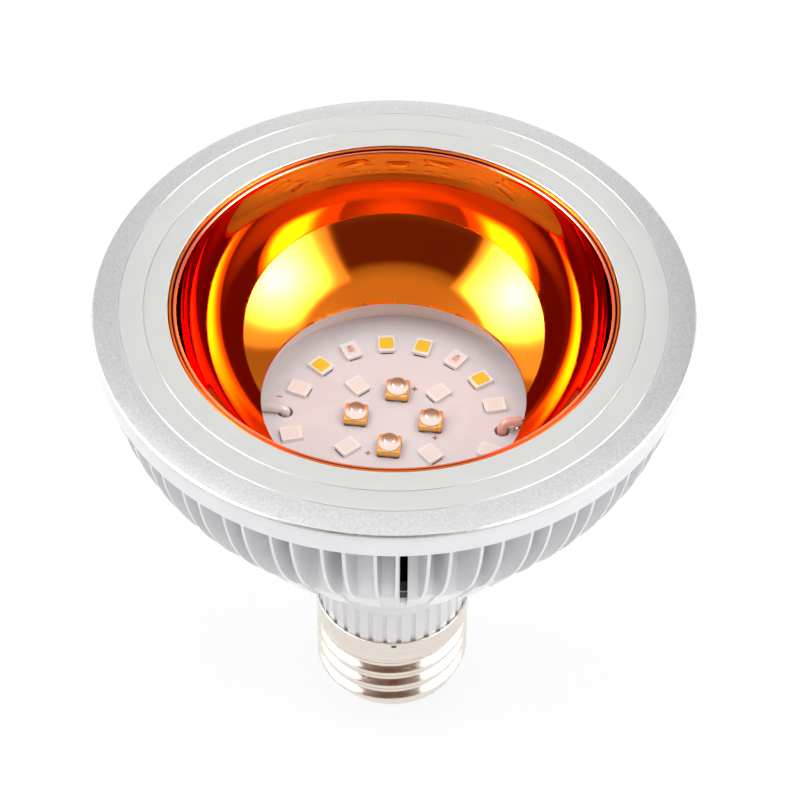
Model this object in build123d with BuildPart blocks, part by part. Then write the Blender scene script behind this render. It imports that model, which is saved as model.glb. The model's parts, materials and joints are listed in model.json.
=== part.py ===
from build123d import *

import os
from math import atan2, cos, degrees, hypot, radians, sin, sqrt, tan

os.makedirs("parts", exist_ok=True)

# Reflector lamp with a screw cap. Millimetres, +Z up, the light leaves upwards.
# The origin is on the axis, in the plane of the screw cap's rim.

# Heights, stacked upwards from the rim of the cap
neck_height = 38.2
base_plate_t = 2.4
board_t = 1.6
seat_ring_h = 5.3
reflector_h = 21.6
ring_plate_t = 1.4

z_plate = neck_height
z_board = z_plate + base_plate_t
z_face = z_board + board_t
z_foot = z_face + seat_ring_h
z_flange = z_foot + reflector_h
z_top = z_flange + ring_plate_t

# Clearances
press_gap = 0.05
slide_gap = 0.15

# Front ring
ring_r = 47.5
ring_width = 11.95
ring_opening_r = ring_r - ring_width
ring_bevel_w = 0.2
ring_bevel_h = 0.3
ring_slope_h = 0.8
ring_lead_in = 0.1
ring_skirt_t = 1.1
skirt_end_gap = 0.2
groove_radii = (ring_opening_r + 3.75, ring_opening_r + 7.65)
groove_w = 0.3
groove_depth = 0.15

# Seat ring under the reflector
seat_ring_t = 1.4

# Rim cup under the front ring
cup_inset = 0.3
cup_r = ring_r - cup_inset
cup_h = 4.4
cup_wall = 1.2
cup_floor_t = 1.0
cup_inner_wall = 1.2
cup_chamfer = 0.2
ring_skirt_h = cup_h - cup_floor_t - skirt_end_gap

# Reflector bowl
bead_r = 0.3
inner_bead_r = 0.2
inner_bead_drop = 0.25
lip_r = ring_opening_r - slide_gap
bowl_mouth_r = lip_r - 2 * bead_r - 2 * inner_bead_r
bowl_run = 12.9
bowl_edge_r = bowl_mouth_r - bowl_run
bowl_edge_h = 0.7
bowl_lean = 2.5
bowl_wall = 0.7
lip_h = 0.9
flange_t = 1.0
flange_w = 1.5

# Fin ring
core_inset = 0.25
core_r = ring_opening_r - core_inset
core_t = 0.4
web_t = 0.5
fin_t = 0.5
fin_inset = 0.55
fin_tip_r = cup_r - fin_inset
fin_bulge = 2.17
fin_end_h = 0.6
web_end_h = 0.5
cone_seat_h = 2.0
cone_draw = 5.6
cone_h = 8.9
fin_pairs = 36
fin_spread = 5.9
fin_phase = -86.0
seam_angle = -87.0
seam_w = 1.25
seam_margin = 0.4
seam_notch = 2.5
seam_tab_w = 0.5
seam_tab_h = 2.0

# Light board and its parts
board_margin = 4.0
board_r = bowl_edge_r + board_margin
pattern_turn = -6.0
led_long = 3.5
led_wide = 2.8
led_h = 0.75
led_window_long = 2.4
led_window_wide = 1.9
led_window_depth = 0.1
led_corner = 0.25
outer_led_margin = 8.6
outer_led_r = board_r - outer_led_margin
outer_led_pitch = 20.75
near_led_pitch = 17.0
led_row_gap = 7.4
inner_led_r = outer_led_r - led_row_gap
inner_led_count = 4
inner_led_turn = 45.0
arc_kinds = ("pale", "warm", "red", "warm", "warm", "red", "warm", "pale")
uv_led_count = 4
uv_led_r = 6.15
uv_base_side = 3.8
uv_base_h = 0.9
uv_collar_margin = 0.15
uv_collar_r = uv_base_side / 2 - uv_collar_margin
uv_collar_h = 0.35
uv_foot_gap_w = 2.0
uv_foot_gap_h = 0.2
uv_lens_inset = 0.15
uv_lens_r = uv_collar_r - uv_lens_inset
uv_lens_h = 1.5
uv_base_chamfer = 0.3

# Leads
lead_r = 0.8
lead_hole_r = 1.25
lead_margin = 7.7
lead_circle_r = board_r - lead_margin
lead_bend_r = 0.95
positive_bend_r = 1.35
positive_end_turn = 2.4
lead_slack_r = 2.0
lead_rise = 1.9
positive_reach = 3.0
negative_reach = 4.0
conductor_r = 0.3
conductor_reach = 0.5
conductor_bend_r = 0.35
solder_r = 0.9
lead_start_x = 10.8
lead_start_drop = 7.0
lead_turn_drop = 4.0
lead_meet_drop = 1.0
cap_lead_r = 0.6
cap_lead_start_z = -5.0
cap_lead_bend_r = 1.2
live_lead_x = 2.5
neutral_lead_x = -4.0

# Neck sleeve
sleeve_flange_inset = 4.3
sleeve_flange_r = core_r - sleeve_flange_inset
sleeve_flange_t = 2.0
sleeve_sag = 1.5
sleeve_wall = 1.6
sleeve_lead_room = 2.8
sleeve_top_r = lead_circle_r + lead_r + sleeve_lead_room + sleeve_wall
cover_t = 1.2
cover_root = 0.5
cover_hole_margin = 0.4
collar_step = 0.5
collar_base_h = 8.4
collar_h = 2.0
spigot_wall = 1.2
spigot_depth = 13.5
flute_count = 33
flute_r = 0.45
rib_gap = 0.3
rib_angle = -90.0
sleeve_screw_circle_r = (sleeve_top_r + sleeve_flange_r) / 2
sleeve_screw_count = 3
sleeve_screw_r = 1.45
sleeve_screw_head_r = 2.5
sleeve_screw_head_h = 1.7
sleeve_screw_slot_w = 0.7

# Driver
driver_t = 1.2
driver_edge_gap = 1.85
driver_high_w = 24.0
driver_high_h = 15.7
driver_top_gap = 2.5
rail_reach = 2.4
rail_t = 1.1
rail_root = 0.4
rail_stop_h = 1.5
part_x = 6.0
capacitor_r = 4.0
capacitor_len = 13.0
capacitor_round = 0.5
inductor_r = 4.6
inductor_waist_r = 2.4
inductor_len = 9.0
inductor_flange_t = 1.3
film_w = 8.0
film_h = 7.0
film_t = 4.5
film_round = 0.6
film_z = 12.0
bridge_w = 4.8
bridge_h = 4.0
bridge_t = 2.2
bridge_z = 4.0
chip_w = 3.9
chip_h = 4.9
chip_t = 1.5
chip_bevel = 0.3
fuse_r = 1.6
fuse_len = 7.0
fuse_x = 5.0
fuse_z = -8.0

# Screw cap
cap_r = 13.2
collar_r = cap_r + collar_step
cap_t = 0.35
skirt_h = 5.2
shoulder_slope = 0.7
thread_depth = 0.95
thread_crest_r = cap_r - 0.1
thread_root_r = thread_crest_r - thread_depth
thread_pitch = 3.629
thread_turns = 2.59
thread_start_angle = -160.0
thread_start_depth = 16.57
thread_root_w = 2.5
thread_crest_w = 0.9
thread_end_depth = 17.7
cap_bottom_depth = 19.3
cap_bottom_inset = 2.8
cap_bottom_r = cap_r - cap_bottom_inset
crimp_w = 0.85
crimp_h = 0.5
crimp_drop = 0.6
crimp_angle = -88.6
insulator_depth = 23.4
insulator_land_h = 1.6
insulator_tip_r = 5.8
contact_r = 5.0
contact_h = 2.6
contact_land_h = 0.8


def export(piece, name):
    """Label a finished piece and write its STEP file."""
    piece.label = name
    export_step(piece, f"parts/{name}.step")


def polar(radius, angle, height=0.0):
    """Point at a radius and an angle in degrees, at a height."""
    return (radius * cos(radians(angle)), radius * sin(radians(angle)), height)


def radial_plane(angle):
    """Upright plane through the axis: local x runs outwards, local y runs up."""
    outward = Vector(*polar(1, angle))
    return Plane(origin=(0, 0, 0), x_dir=outward, z_dir=outward.cross(Vector(0, 0, 1)))


def dome_radius(rim, height):
    """Radius of the sphere whose cap has this rim radius and height."""
    return (rim**2 + height**2) / (2 * height)


# Front ring: a turned annulus with two grooves, a sloping outer land, a bevelled edge and a skirt
skirt_r = cup_r - cup_wall - press_gap
outer_land_r = groove_radii[1] + groove_w / 2
with BuildPart() as front_ring:
    with BuildSketch(Plane.XZ):
        with BuildLine():
            Polyline(
                (ring_opening_r, z_flange),
                (ring_opening_r, z_top - ring_lead_in),
                (ring_opening_r + ring_lead_in, z_top),
                (outer_land_r, z_top),
                (ring_r - ring_bevel_w, z_top - ring_slope_h),
                (ring_r, z_top - ring_slope_h - ring_bevel_h),
                (ring_r, z_flange),
                (skirt_r, z_flange),
                (skirt_r, z_flange - ring_skirt_h),
                (skirt_r - ring_skirt_t, z_flange - ring_skirt_h),
                (skirt_r - ring_skirt_t, z_flange),
                close=True,
            )
        make_face()
        for groove_r in groove_radii:
            with BuildLine():
                Polyline(
                    (groove_r - groove_w / 2, z_top),
                    (groove_r, z_top - groove_depth),
                    (groove_r + groove_w / 2, z_top),
                    (groove_r, z_top + groove_depth),
                    close=True,
                )
            make_face(mode=Mode.SUBTRACT)
    revolve(axis=Axis.Z)
export(front_ring.part, "front_ring")

# Rim cup: a channel ring that takes the front ring's skirt and carries the reflector's flange,
# with a small tab that hangs in the seam of the fin core
z_cup_top = z_flange - press_gap
z_cup = z_cup_top - cup_h
z_flange_seat = z_flange - flange_t
cup_inner_r = bowl_mouth_r + bowl_wall + slide_gap
with BuildPart() as rim_cup:
    with BuildSketch(Plane.XZ):
        with BuildLine():
            Polyline(
                (core_r - core_t, z_cup),
                (cup_r, z_cup),
                (cup_r, z_cup_top),
                (cup_r - cup_wall, z_cup_top),
                (cup_r - cup_wall, z_cup + cup_floor_t),
                (cup_inner_r + cup_inner_wall, z_cup + cup_floor_t),
                (cup_inner_r + cup_inner_wall, z_flange_seat),
                (cup_inner_r, z_flange_seat),
                (cup_inner_r, z_cup + cup_floor_t),
                (core_r - core_t, z_cup + cup_floor_t),
                close=True,
            )
        make_face()
    revolve(axis=Axis.Z)
    chamfer(rim_cup.edges().filter_by(GeomType.CIRCLE).sort_by(SortBy.RADIUS)[-2:], cup_chamfer)
    with Locations(Location(polar(core_r - core_t / 2, seam_angle, z_cup), (0, 0, seam_angle))):
        Box(core_t, seam_tab_w, seam_tab_h, align=(Align.MIN, Align.CENTER, Align.MAX))
export(rim_cup.part, "rim_cup")

# Reflector: a thin bowl with a clamped flange, a lip of two beads inside the ring and a flat foot.
# The bowl's arc leaves the mouth almost upright, at its lean
flange_r = cup_inner_r + flange_w
z_lip = z_flange + lip_h
z_bead = z_lip - bead_r
z_inner_bead = z_lip - inner_bead_drop - inner_bead_r
bead_step_r = lip_r - 2 * bead_r
z_edge = z_foot + bowl_edge_h
foot_r = board_r - slide_gap
bowl_rise = z_flange - z_edge
bowl_turn = degrees(atan2(bowl_run, bowl_rise)) - bowl_lean
bowl_bulge = hypot(bowl_run, bowl_rise) / 2 * tan(radians(bowl_turn / 2))
with BuildPart() as reflector:
    with BuildSketch(Plane.XZ):
        with BuildLine():
            bowl_line = SagittaArc((bowl_edge_r, z_edge), (bowl_mouth_r, z_flange), -bowl_bulge)
            offset(bowl_line, amount=bowl_wall, side=Side.RIGHT)
        make_face()
        with BuildLine():
            Polyline(
                (bowl_mouth_r, z_inner_bead),
                (bowl_mouth_r, z_flange_seat),
                (flange_r, z_flange_seat),
                (flange_r, z_flange),
                (lip_r, z_flange),
                (lip_r, z_bead),
            )
            CenterArc((lip_r - bead_r, z_bead), bead_r, 0, 180)
            Line((bead_step_r, z_bead), (bead_step_r, z_inner_bead))
            CenterArc((bead_step_r - inner_bead_r, z_inner_bead), inner_bead_r, 0, 180)
        make_face()
        with BuildLine():
            Polyline(
                (bowl_edge_r, z_foot),
                (foot_r, z_foot),
                (foot_r, z_edge),
                (bowl_edge_r, z_edge),
                close=True,
            )
        make_face()
    revolve(axis=Axis.Z)
export(reflector.part, "reflector")

# Seat ring: a plain sleeve that carries the reflector's foot above the board
with BuildPart() as reflector_seat:
    with BuildSketch(Plane.XY.offset(z_face)):
        Circle(foot_r)
        Circle(foot_r - seat_ring_t, mode=Mode.SUBTRACT)
    extrude(amount=seat_ring_h)
export(reflector_seat.part, "reflector_seat")

# Fin core: a rolled tube whose lower end is drawn in to a cone, with an open seam
z_cone = z_plate + cone_seat_h
z_cone_end = z_cone - cone_h


def cone_r(height):
    """Outer radius of the core's cone at a height."""
    return core_r - (z_cone - height) * cone_draw / cone_h


seam_place = Location(polar(core_r - cone_draw, seam_angle, z_cone_end), (0, 0, seam_angle))
seam_reach = cone_draw + web_t + seam_margin
with BuildPart() as fin_core:
    with BuildSketch(Plane.XZ):
        with BuildLine():
            Polyline(
                (core_r, z_cup),
                (core_r, z_cone),
                (cone_r(z_cone_end), z_cone_end),
                (cone_r(z_cone_end) - core_t, z_cone_end),
                (core_r - core_t, z_cone),
                (core_r - core_t, z_cup),
                close=True,
            )
        make_face()
    revolve(axis=Axis.Z)
    with Locations(seam_place):
        Box(
            2 * seam_reach,
            seam_w,
            z_cup - z_cone_end,
            align=(Align.CENTER, Align.CENTER, Align.MIN),
            mode=Mode.SUBTRACT,
        )
export(fin_core.part, "fin_core")

# Cooling fins: folded U strips. Each has two radial fins, whose outer edges run along one arc,
# and a web that lies on the tube and follows its cone to just above the lower end
web_r = core_r + web_t
z_web = z_cone_end + web_end_h
z_fin = z_cone + fin_end_h
with BuildPart() as one_fin:
    for side in (-1, 1):
        with BuildSketch(radial_plane(side * fin_spread / 2)):
            with BuildLine():
                SagittaArc((web_r, z_fin), (fin_tip_r, z_cup), -fin_bulge)
                Polyline(
                    (fin_tip_r, z_cup),
                    (core_r, z_cup),
                    (core_r, z_fin),
                    (web_r, z_fin),
                )
            make_face()
        extrude(amount=fin_t / 2, both=True)
    with BuildSketch(radial_plane(-fin_spread / 2)):
        with BuildLine():
            Polyline(
                (core_r, z_cup),
                (web_r, z_cup),
                (web_r, z_cone),
                (cone_r(z_web) + web_t, z_web),
                (cone_r(z_web), z_web),
                (core_r, z_cone),
                close=True,
            )
        make_face()
    revolve(axis=Axis.Z, revolution_arc=fin_spread)

with BuildPart() as cooling_fins:
    with PolarLocations(0, fin_pairs, start_angle=fin_phase):
        add(one_fin.part)
    with Locations(seam_place):
        Box(
            2 * seam_reach,
            seam_w,
            z_cup - z_cone_end,
            align=(Align.CENTER, Align.CENTER, Align.MIN),
            mode=Mode.SUBTRACT,
        )
export(cooling_fins.part, "cooling_fins")

# Base plate: carries the board, seats on the core's cone and holds the neck's screws, notched at the seam
plate_r = core_r - core_t - press_gap
positive_angle = pattern_turn
negative_angle = 180 + pattern_turn
lead_holes = (polar(lead_circle_r, positive_angle), polar(lead_circle_r, negative_angle))
with BuildPart() as base_plate:
    with BuildSketch(Plane.XZ):
        with BuildLine():
            Polyline(
                (0, z_plate),
                (cone_r(z_plate) - core_t - press_gap, z_plate),
                (plate_r, z_cone),
                (plate_r, z_board),
                (0, z_board),
                close=True,
            )
        make_face()
    revolve(axis=Axis.Z)
    with BuildSketch(Plane.XY.offset(z_plate)):
        with Locations(*lead_holes):
            Circle(lead_hole_r)
        with PolarLocations(sleeve_screw_circle_r, sleeve_screw_count):
            Circle(sleeve_screw_r + press_gap)
        with Locations(Location(polar(plate_r, seam_angle), (0, 0, seam_angle))):
            Rectangle(2 * seam_notch, seam_w + 2 * seam_margin)
    extrude(amount=base_plate_t, mode=Mode.SUBTRACT)
export(base_plate.part, "base_plate")

# Light board
with BuildPart() as led_board:
    with BuildSketch(Plane.XY.offset(z_board)):
        Circle(board_r)
        with Locations(*lead_holes):
            Circle(lead_hole_r, mode=Mode.SUBTRACT)
    extrude(amount=board_t)
export(led_board.part, "led_board")

# Small LEDs: two outer arcs of eight and an inner four, long side along the radius. The arcs end at
# the same turn from their middles, and the six between stand closer on one of them
led_places = []
last_step = (len(arc_kinds) - 1) / 2
for arc_middle, led_pitch in ((90, outer_led_pitch), (270, near_led_pitch)):
    for count, kind in enumerate(arc_kinds):
        step = count - last_step
        turn = step * (outer_led_pitch if abs(step) == last_step else led_pitch)
        led_places.append((kind, outer_led_r, arc_middle + turn + pattern_turn))
for corner in range(inner_led_count):
    led_angle = inner_led_turn + corner * 360 / inner_led_count + pattern_turn
    led_places.append(("pale", inner_led_r, led_angle))
led_numbers = {"pale": 0, "warm": 0, "red": 0}
for kind, led_radius, led_angle in led_places:
    led_numbers[kind] += 1
    led_plane = Plane(polar(led_radius, led_angle, z_face), x_dir=polar(1, led_angle))
    with BuildPart() as small_led:
        with BuildSketch(led_plane):
            RectangleRounded(led_long, led_wide, led_corner)
        extrude(amount=led_h)
        with BuildSketch(led_plane.offset(led_h)):
            RectangleRounded(led_window_long, led_window_wide, 2 * led_corner)
        extrude(amount=-led_window_depth, mode=Mode.SUBTRACT)
    export(small_led.part, f"{kind}_led_{led_numbers[kind]}")

# UV LEDs: a square base with a round collar and a gap between its feet, and a glass dome on it
z_uv = z_face + uv_base_h
for corner in range(uv_led_count):
    uv_angle = corner * 360 / uv_led_count + pattern_turn
    uv_plane = Plane(polar(uv_led_r, uv_angle, z_face), x_dir=polar(1, pattern_turn))
    with BuildPart() as uv_led_base:
        with BuildSketch(uv_plane):
            Rectangle(uv_base_side, uv_base_side)
        extrude(amount=uv_base_h - uv_collar_h)
        chamfer(uv_led_base.edges().filter_by(Axis.Z), uv_base_chamfer)
        with BuildSketch(uv_plane.offset(uv_base_h - uv_collar_h)):
            Circle(uv_collar_r)
        extrude(amount=uv_collar_h)
        with BuildSketch(uv_plane):
            Rectangle(uv_foot_gap_w, uv_base_side)
        extrude(amount=uv_foot_gap_h, mode=Mode.SUBTRACT)
    export(uv_led_base.part, f"uv_led_base_{corner + 1}")
    with BuildPart() as uv_led_lens:
        with BuildSketch(radial_plane(uv_angle)):
            with BuildLine():
                Polyline(
                    (uv_led_r, z_uv + uv_lens_h),
                    (uv_led_r, z_uv),
                    (uv_led_r + uv_lens_r, z_uv),
                )
                RadiusArc(
                    (uv_led_r, z_uv + uv_lens_h),
                    (uv_led_r + uv_lens_r, z_uv),
                    dome_radius(uv_lens_r, uv_lens_h),
                )
            make_face()
        revolve(axis=Axis(polar(uv_led_r, uv_angle), (0, 0, 1)))
    export(uv_led_lens.part, f"uv_led_lens_{corner + 1}")

# Leads from the driver: up through the plate and the board, then bent outwards to their pads
z_driver_top = z_plate - driver_top_gap
driver_high_z = z_driver_top - driver_high_h
lead_y = -(driver_t / 2 + lead_r + press_gap)
z_positive = z_face + lead_rise
positive_end_angle = positive_angle + positive_end_turn
z_negative = z_face + lead_r + press_gap
with BuildPart() as positive_lead:
    with BuildLine():
        FilletPolyline(
            (lead_start_x, lead_y, z_driver_top - lead_start_drop),
            (lead_start_x, lead_y, z_driver_top - lead_turn_drop),
            polar(lead_circle_r, positive_angle, z_plate - lead_meet_drop),
            polar(lead_circle_r, positive_angle, z_positive),
            polar(lead_circle_r + positive_reach, positive_end_angle, z_positive),
            radius=[lead_slack_r, lead_slack_r, positive_bend_r],
        )
    with BuildSketch(Plane((lead_start_x, lead_y, z_driver_top - lead_start_drop))):
        Circle(lead_r)
    sweep()
export(positive_lead.part, "positive_lead")

with BuildPart() as negative_lead:
    with BuildLine():
        FilletPolyline(
            (-lead_start_x, -lead_y, z_driver_top - lead_start_drop),
            (-lead_start_x, -lead_y, z_driver_top - lead_turn_drop),
            polar(lead_circle_r, negative_angle, z_plate - lead_meet_drop),
            polar(lead_circle_r, negative_angle, z_negative),
            polar(lead_circle_r + negative_reach, negative_angle, z_negative),
            radius=[lead_slack_r, lead_slack_r, lead_bend_r],
        )
    with BuildSketch(Plane((-lead_start_x, -lead_y, z_driver_top - lead_start_drop))):
        Circle(lead_r)
    sweep()
export(negative_lead.part, "negative_lead")

# Solder joints: a low dome on the board with the bare conductor that leaves the lead
with BuildPart() as solder_joints:
    for joint_angle, joint_reach, joint_z, joint_shift in (
        (positive_end_angle, positive_reach, z_positive, -conductor_r),
        (negative_angle, negative_reach, z_negative, solder_r),
    ):
        lead_end = lead_circle_r + joint_reach
        joint_plane = radial_plane(joint_angle)
        with BuildSketch(joint_plane):
            with BuildLine():
                CenterArc((lead_end + joint_shift, z_face), solder_r, 0, 90)
                Polyline(
                    (lead_end + joint_shift, z_face + solder_r),
                    (lead_end + joint_shift, z_face),
                    (lead_end + joint_shift + solder_r, z_face),
                )
            make_face()
        revolve(axis=Axis(polar(lead_end + joint_shift, joint_angle), (0, 0, 1)))
        with BuildLine():
            FilletPolyline(
                polar(lead_end, joint_angle, joint_z),
                polar(lead_end + conductor_reach, joint_angle, joint_z),
                polar(lead_end + conductor_reach, joint_angle, z_face + conductor_r),
                radius=conductor_bend_r,
            )
        with BuildSketch(Plane(polar(lead_end, joint_angle, joint_z), z_dir=polar(1, joint_angle))):
            Circle(conductor_r)
        sweep()
export(solder_joints.part, "solder_joints")

# Neck sleeve: flange, flared body, collar, fluted neck and spigot, hollow, with rails for the driver
# and a cover that closes the core's cone, open only under the screws
bore_r = thread_root_r - cap_t
rib_r = cap_r - cap_t - rib_gap
spigot_r = bore_r - slide_gap
neck_bore_r = spigot_r - spigot_wall
z_sleeve_flange = z_plate - sleeve_flange_t
z_collar = collar_base_h + collar_h
z_driver = rail_stop_h - spigot_depth
with BuildPart() as neck_sleeve:
    with BuildSketch(Plane.XZ):
        with BuildLine():
            Polyline(
                (sleeve_top_r - sleeve_wall, z_sleeve_flange),
                (sleeve_top_r - sleeve_wall, z_plate),
                (sleeve_flange_r, z_plate),
                (sleeve_flange_r, z_sleeve_flange),
                (sleeve_top_r, z_sleeve_flange),
            )
            SagittaArc((sleeve_top_r, z_sleeve_flange), (collar_r, z_collar), sleeve_sag)
            Polyline(
                (collar_r, z_collar),
                (collar_r, collar_base_h),
                (rib_r, collar_base_h),
                (rib_r, press_gap - skirt_h),
                (spigot_r, press_gap - skirt_h),
                (spigot_r, -spigot_depth),
                (neck_bore_r, -spigot_depth),
                (neck_bore_r, collar_base_h),
            )
            SagittaArc(
                (neck_bore_r, collar_base_h),
                (sleeve_top_r - sleeve_wall, z_sleeve_flange),
                -sleeve_sag,
            )
        make_face()
    revolve(axis=Axis.Z)
    with BuildSketch(Plane.XY.offset(press_gap - skirt_h)):
        with PolarLocations(rib_r, flute_count, start_angle=rib_angle + 180 / flute_count):
            Circle(flute_r)
    extrude(amount=collar_base_h + skirt_h - press_gap, mode=Mode.SUBTRACT)
    with BuildSketch(Plane.XY.offset(z_plate)):
        with PolarLocations(sleeve_screw_circle_r, sleeve_screw_count):
            Circle(sleeve_screw_r + slide_gap)
    extrude(amount=-sleeve_flange_t, mode=Mode.SUBTRACT)
    with BuildSketch(Plane.XY.offset(z_cone_end)):
        Circle(cone_r(z_cone_end) - core_t - slide_gap)
        Circle(sleeve_top_r - sleeve_wall - cover_root, mode=Mode.SUBTRACT)
        with PolarLocations(sleeve_screw_circle_r, sleeve_screw_count):
            Circle(sleeve_screw_head_r + cover_hole_margin, mode=Mode.SUBTRACT)
    extrude(amount=cover_t)
    rail_x = neck_bore_r - (rail_reach - rail_root) / 2
    rail_y = driver_t / 2 + slide_gap + rail_t / 2
    with BuildSketch(Plane.XY.offset(z_driver)):
        with Locations((rail_x, rail_y), (rail_x, -rail_y), (-rail_x, rail_y), (-rail_x, -rail_y)):
            Rectangle(rail_reach + rail_root, rail_t)
    extrude(amount=collar_base_h - z_driver)
    with BuildSketch(Plane.XY.offset(-spigot_depth)):
        with Locations((rail_x, 0), (-rail_x, 0)):
            Rectangle(rail_reach + rail_root, 2 * rail_y + rail_t)
    extrude(amount=rail_stop_h)
export(neck_sleeve.part, "neck_sleeve")

# Screws that hold the neck to the base plate
with BuildPart() as sleeve_screws:
    with PolarLocations(sleeve_screw_circle_r, sleeve_screw_count):
        with Locations((0, 0, z_sleeve_flange)):
            Cylinder(
                sleeve_screw_r,
                sleeve_flange_t + base_plate_t - press_gap,
                align=(Align.CENTER, Align.CENTER, Align.MIN),
            )
            Cylinder(
                sleeve_screw_head_r,
                sleeve_screw_head_h,
                align=(Align.CENTER, Align.CENTER, Align.MAX),
            )
    with PolarLocations(sleeve_screw_circle_r, sleeve_screw_count):
        with Locations((0, 0, z_sleeve_flange - sleeve_screw_head_h)):
            Box(2 * sleeve_screw_head_r, sleeve_screw_slot_w, sleeve_screw_head_h, mode=Mode.SUBTRACT)
export(sleeve_screws.part, "sleeve_screws")

# Driver board: an upright T-shaped board, its stem in the rails of the neck
with BuildPart() as driver_board:
    with BuildSketch(Plane.XZ):
        with Locations((0, z_driver)):
            Rectangle(
                2 * (neck_bore_r - driver_edge_gap),
                driver_high_z - z_driver,
                align=(Align.CENTER, Align.MIN),
            )
        with Locations((0, driver_high_z)):
            Rectangle(driver_high_w, driver_high_h, align=(Align.CENTER, Align.MIN))
    extrude(amount=driver_t / 2, both=True)
export(driver_board.part, "driver_board")

# Parts on the driver board: two wound or tall ones above, the small ones on both faces below
driver_face = Plane((0, driver_t / 2, 0), x_dir=(-1, 0, 0), z_dir=(0, 1, 0))
driver_back = Plane((0, -driver_t / 2, 0), x_dir=(1, 0, 0), z_dir=(0, -1, 0))
z_driver_parts = (driver_high_z + z_driver_top) / 2
with BuildPart() as bulk_capacitor:
    capacitor_y = driver_t / 2 + capacitor_r
    with BuildSketch(Plane((-part_x, capacitor_y, z_driver_parts - capacitor_len / 2))):
        Circle(capacitor_r)
    extrude(amount=capacitor_len)
    fillet(bulk_capacitor.edges().filter_by(GeomType.CIRCLE), capacitor_round)
export(bulk_capacitor.part, "bulk_capacitor")

with BuildPart() as inductor_core:
    with BuildSketch(driver_face):
        with Locations((-part_x, z_driver_parts)):
            Circle(inductor_waist_r)
    extrude(amount=inductor_len)
    with BuildSketch(driver_face):
        with Locations((-part_x, z_driver_parts)):
            Circle(inductor_r)
    extrude(amount=inductor_flange_t)
    with BuildSketch(driver_face.offset(inductor_len)):
        with Locations((-part_x, z_driver_parts)):
            Circle(inductor_r)
    extrude(amount=-inductor_flange_t)
export(inductor_core.part, "inductor_core")

with BuildPart() as inductor_winding:
    with BuildSketch(driver_face.offset(inductor_flange_t + press_gap)):
        with Locations((-part_x, z_driver_parts)):
            Circle(inductor_r - slide_gap)
            Circle(inductor_waist_r + press_gap, mode=Mode.SUBTRACT)
    extrude(amount=inductor_len - 2 * inductor_flange_t - 2 * press_gap)
export(inductor_winding.part, "inductor_winding")

with BuildPart() as film_capacitor:
    with BuildSketch(driver_face):
        with Locations((0, film_z)):
            RectangleRounded(film_w, film_h, film_round)
    extrude(amount=film_t)
export(film_capacitor.part, "film_capacitor")

with BuildPart() as fuse_resistor:
    with BuildSketch(Plane((-fuse_x, driver_t / 2 + fuse_r, fuse_z))):
        Circle(fuse_r)
    extrude(amount=fuse_len)
    fillet(fuse_resistor.edges().filter_by(GeomType.CIRCLE), fuse_r / 2)
export(fuse_resistor.part, "fuse_resistor")

with BuildPart() as bridge_rectifier:
    with BuildSketch(driver_back):
        with Locations((0, bridge_z)):
            Rectangle(bridge_w, bridge_h)
    extrude(amount=bridge_t)
    chamfer(bridge_rectifier.faces().sort_by(Axis.Y)[0].edges(), chip_bevel)
export(bridge_rectifier.part, "bridge_rectifier")

with BuildPart() as driver_chip:
    with BuildSketch(driver_back):
        with Locations((0, z_driver_parts)):
            Rectangle(chip_w, chip_h)
    extrude(amount=chip_t)
    chamfer(driver_chip.faces().sort_by(Axis.Y)[0].edges(), chip_bevel)
export(driver_chip.part, "driver_chip")

# Screw cap: plain skirt with a crimp mark, shoulder, helical ridge on a thin wall, rolled-in lower edge
z_thread_top = -skirt_h - (cap_r - thread_root_r) * shoulder_slope
ridge_r = thread_root_r - cap_t / 2
with BuildPart() as thread_ridge:
    with BuildLine():
        ridge_path = Helix(
            thread_pitch,
            thread_pitch * thread_turns,
            ridge_r,
            center=(0, 0, -thread_start_depth),
        )
    with BuildSketch(Plane(ridge_path @ 0, x_dir=(1, 0, 0), z_dir=ridge_path % 0)):
        with BuildLine():
            Polyline(
                (0, -thread_root_w / 2),
                (thread_crest_r - ridge_r, -thread_crest_w / 2),
                (thread_crest_r - ridge_r, thread_crest_w / 2),
                (0, thread_root_w / 2),
                close=True,
            )
        make_face()
    sweep(path=ridge_path, is_frenet=True)

with BuildPart() as cap_shell:
    with BuildSketch(Plane.XZ):
        with BuildLine():
            Polyline(
                (cap_r - cap_t, 0),
                (cap_r, 0),
                (cap_r, -skirt_h),
                (thread_root_r, z_thread_top),
                (thread_root_r, -thread_end_depth),
                (cap_bottom_r, -cap_bottom_depth),
                (cap_bottom_r - cap_t, -cap_bottom_depth),
                (bore_r, -thread_end_depth),
                (bore_r, z_thread_top),
                (cap_r - cap_t, -skirt_h),
                close=True,
            )
        make_face()
    revolve(axis=Axis.Z)
    add(thread_ridge.part, rotation=(0, 0, thread_start_angle))
    with Locations(Location(polar(cap_r - cap_t / 2, crimp_angle, -crimp_drop), (0, 0, crimp_angle))):
        Box(2 * cap_t, crimp_w, crimp_h, mode=Mode.SUBTRACT)
export(cap_shell.part, "cap_shell")

# Insulator: a seat inside the shell's lower edge and a cone that carries the centre contact
with BuildPart() as cap_insulator:
    with BuildSketch(Plane.XZ):
        with BuildLine():
            Polyline(
                (cap_lead_r + slide_gap, insulator_land_h - thread_end_depth),
                (bore_r - press_gap, insulator_land_h - thread_end_depth),
                (bore_r - press_gap, -thread_end_depth),
                (cap_bottom_r - cap_t - press_gap, -cap_bottom_depth),
                (insulator_tip_r, -insulator_depth),
                (cap_lead_r + slide_gap, -insulator_depth),
                close=True,
            )
        make_face()
    revolve(axis=Axis.Z)
export(cap_insulator.part, "cap_insulator")

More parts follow.
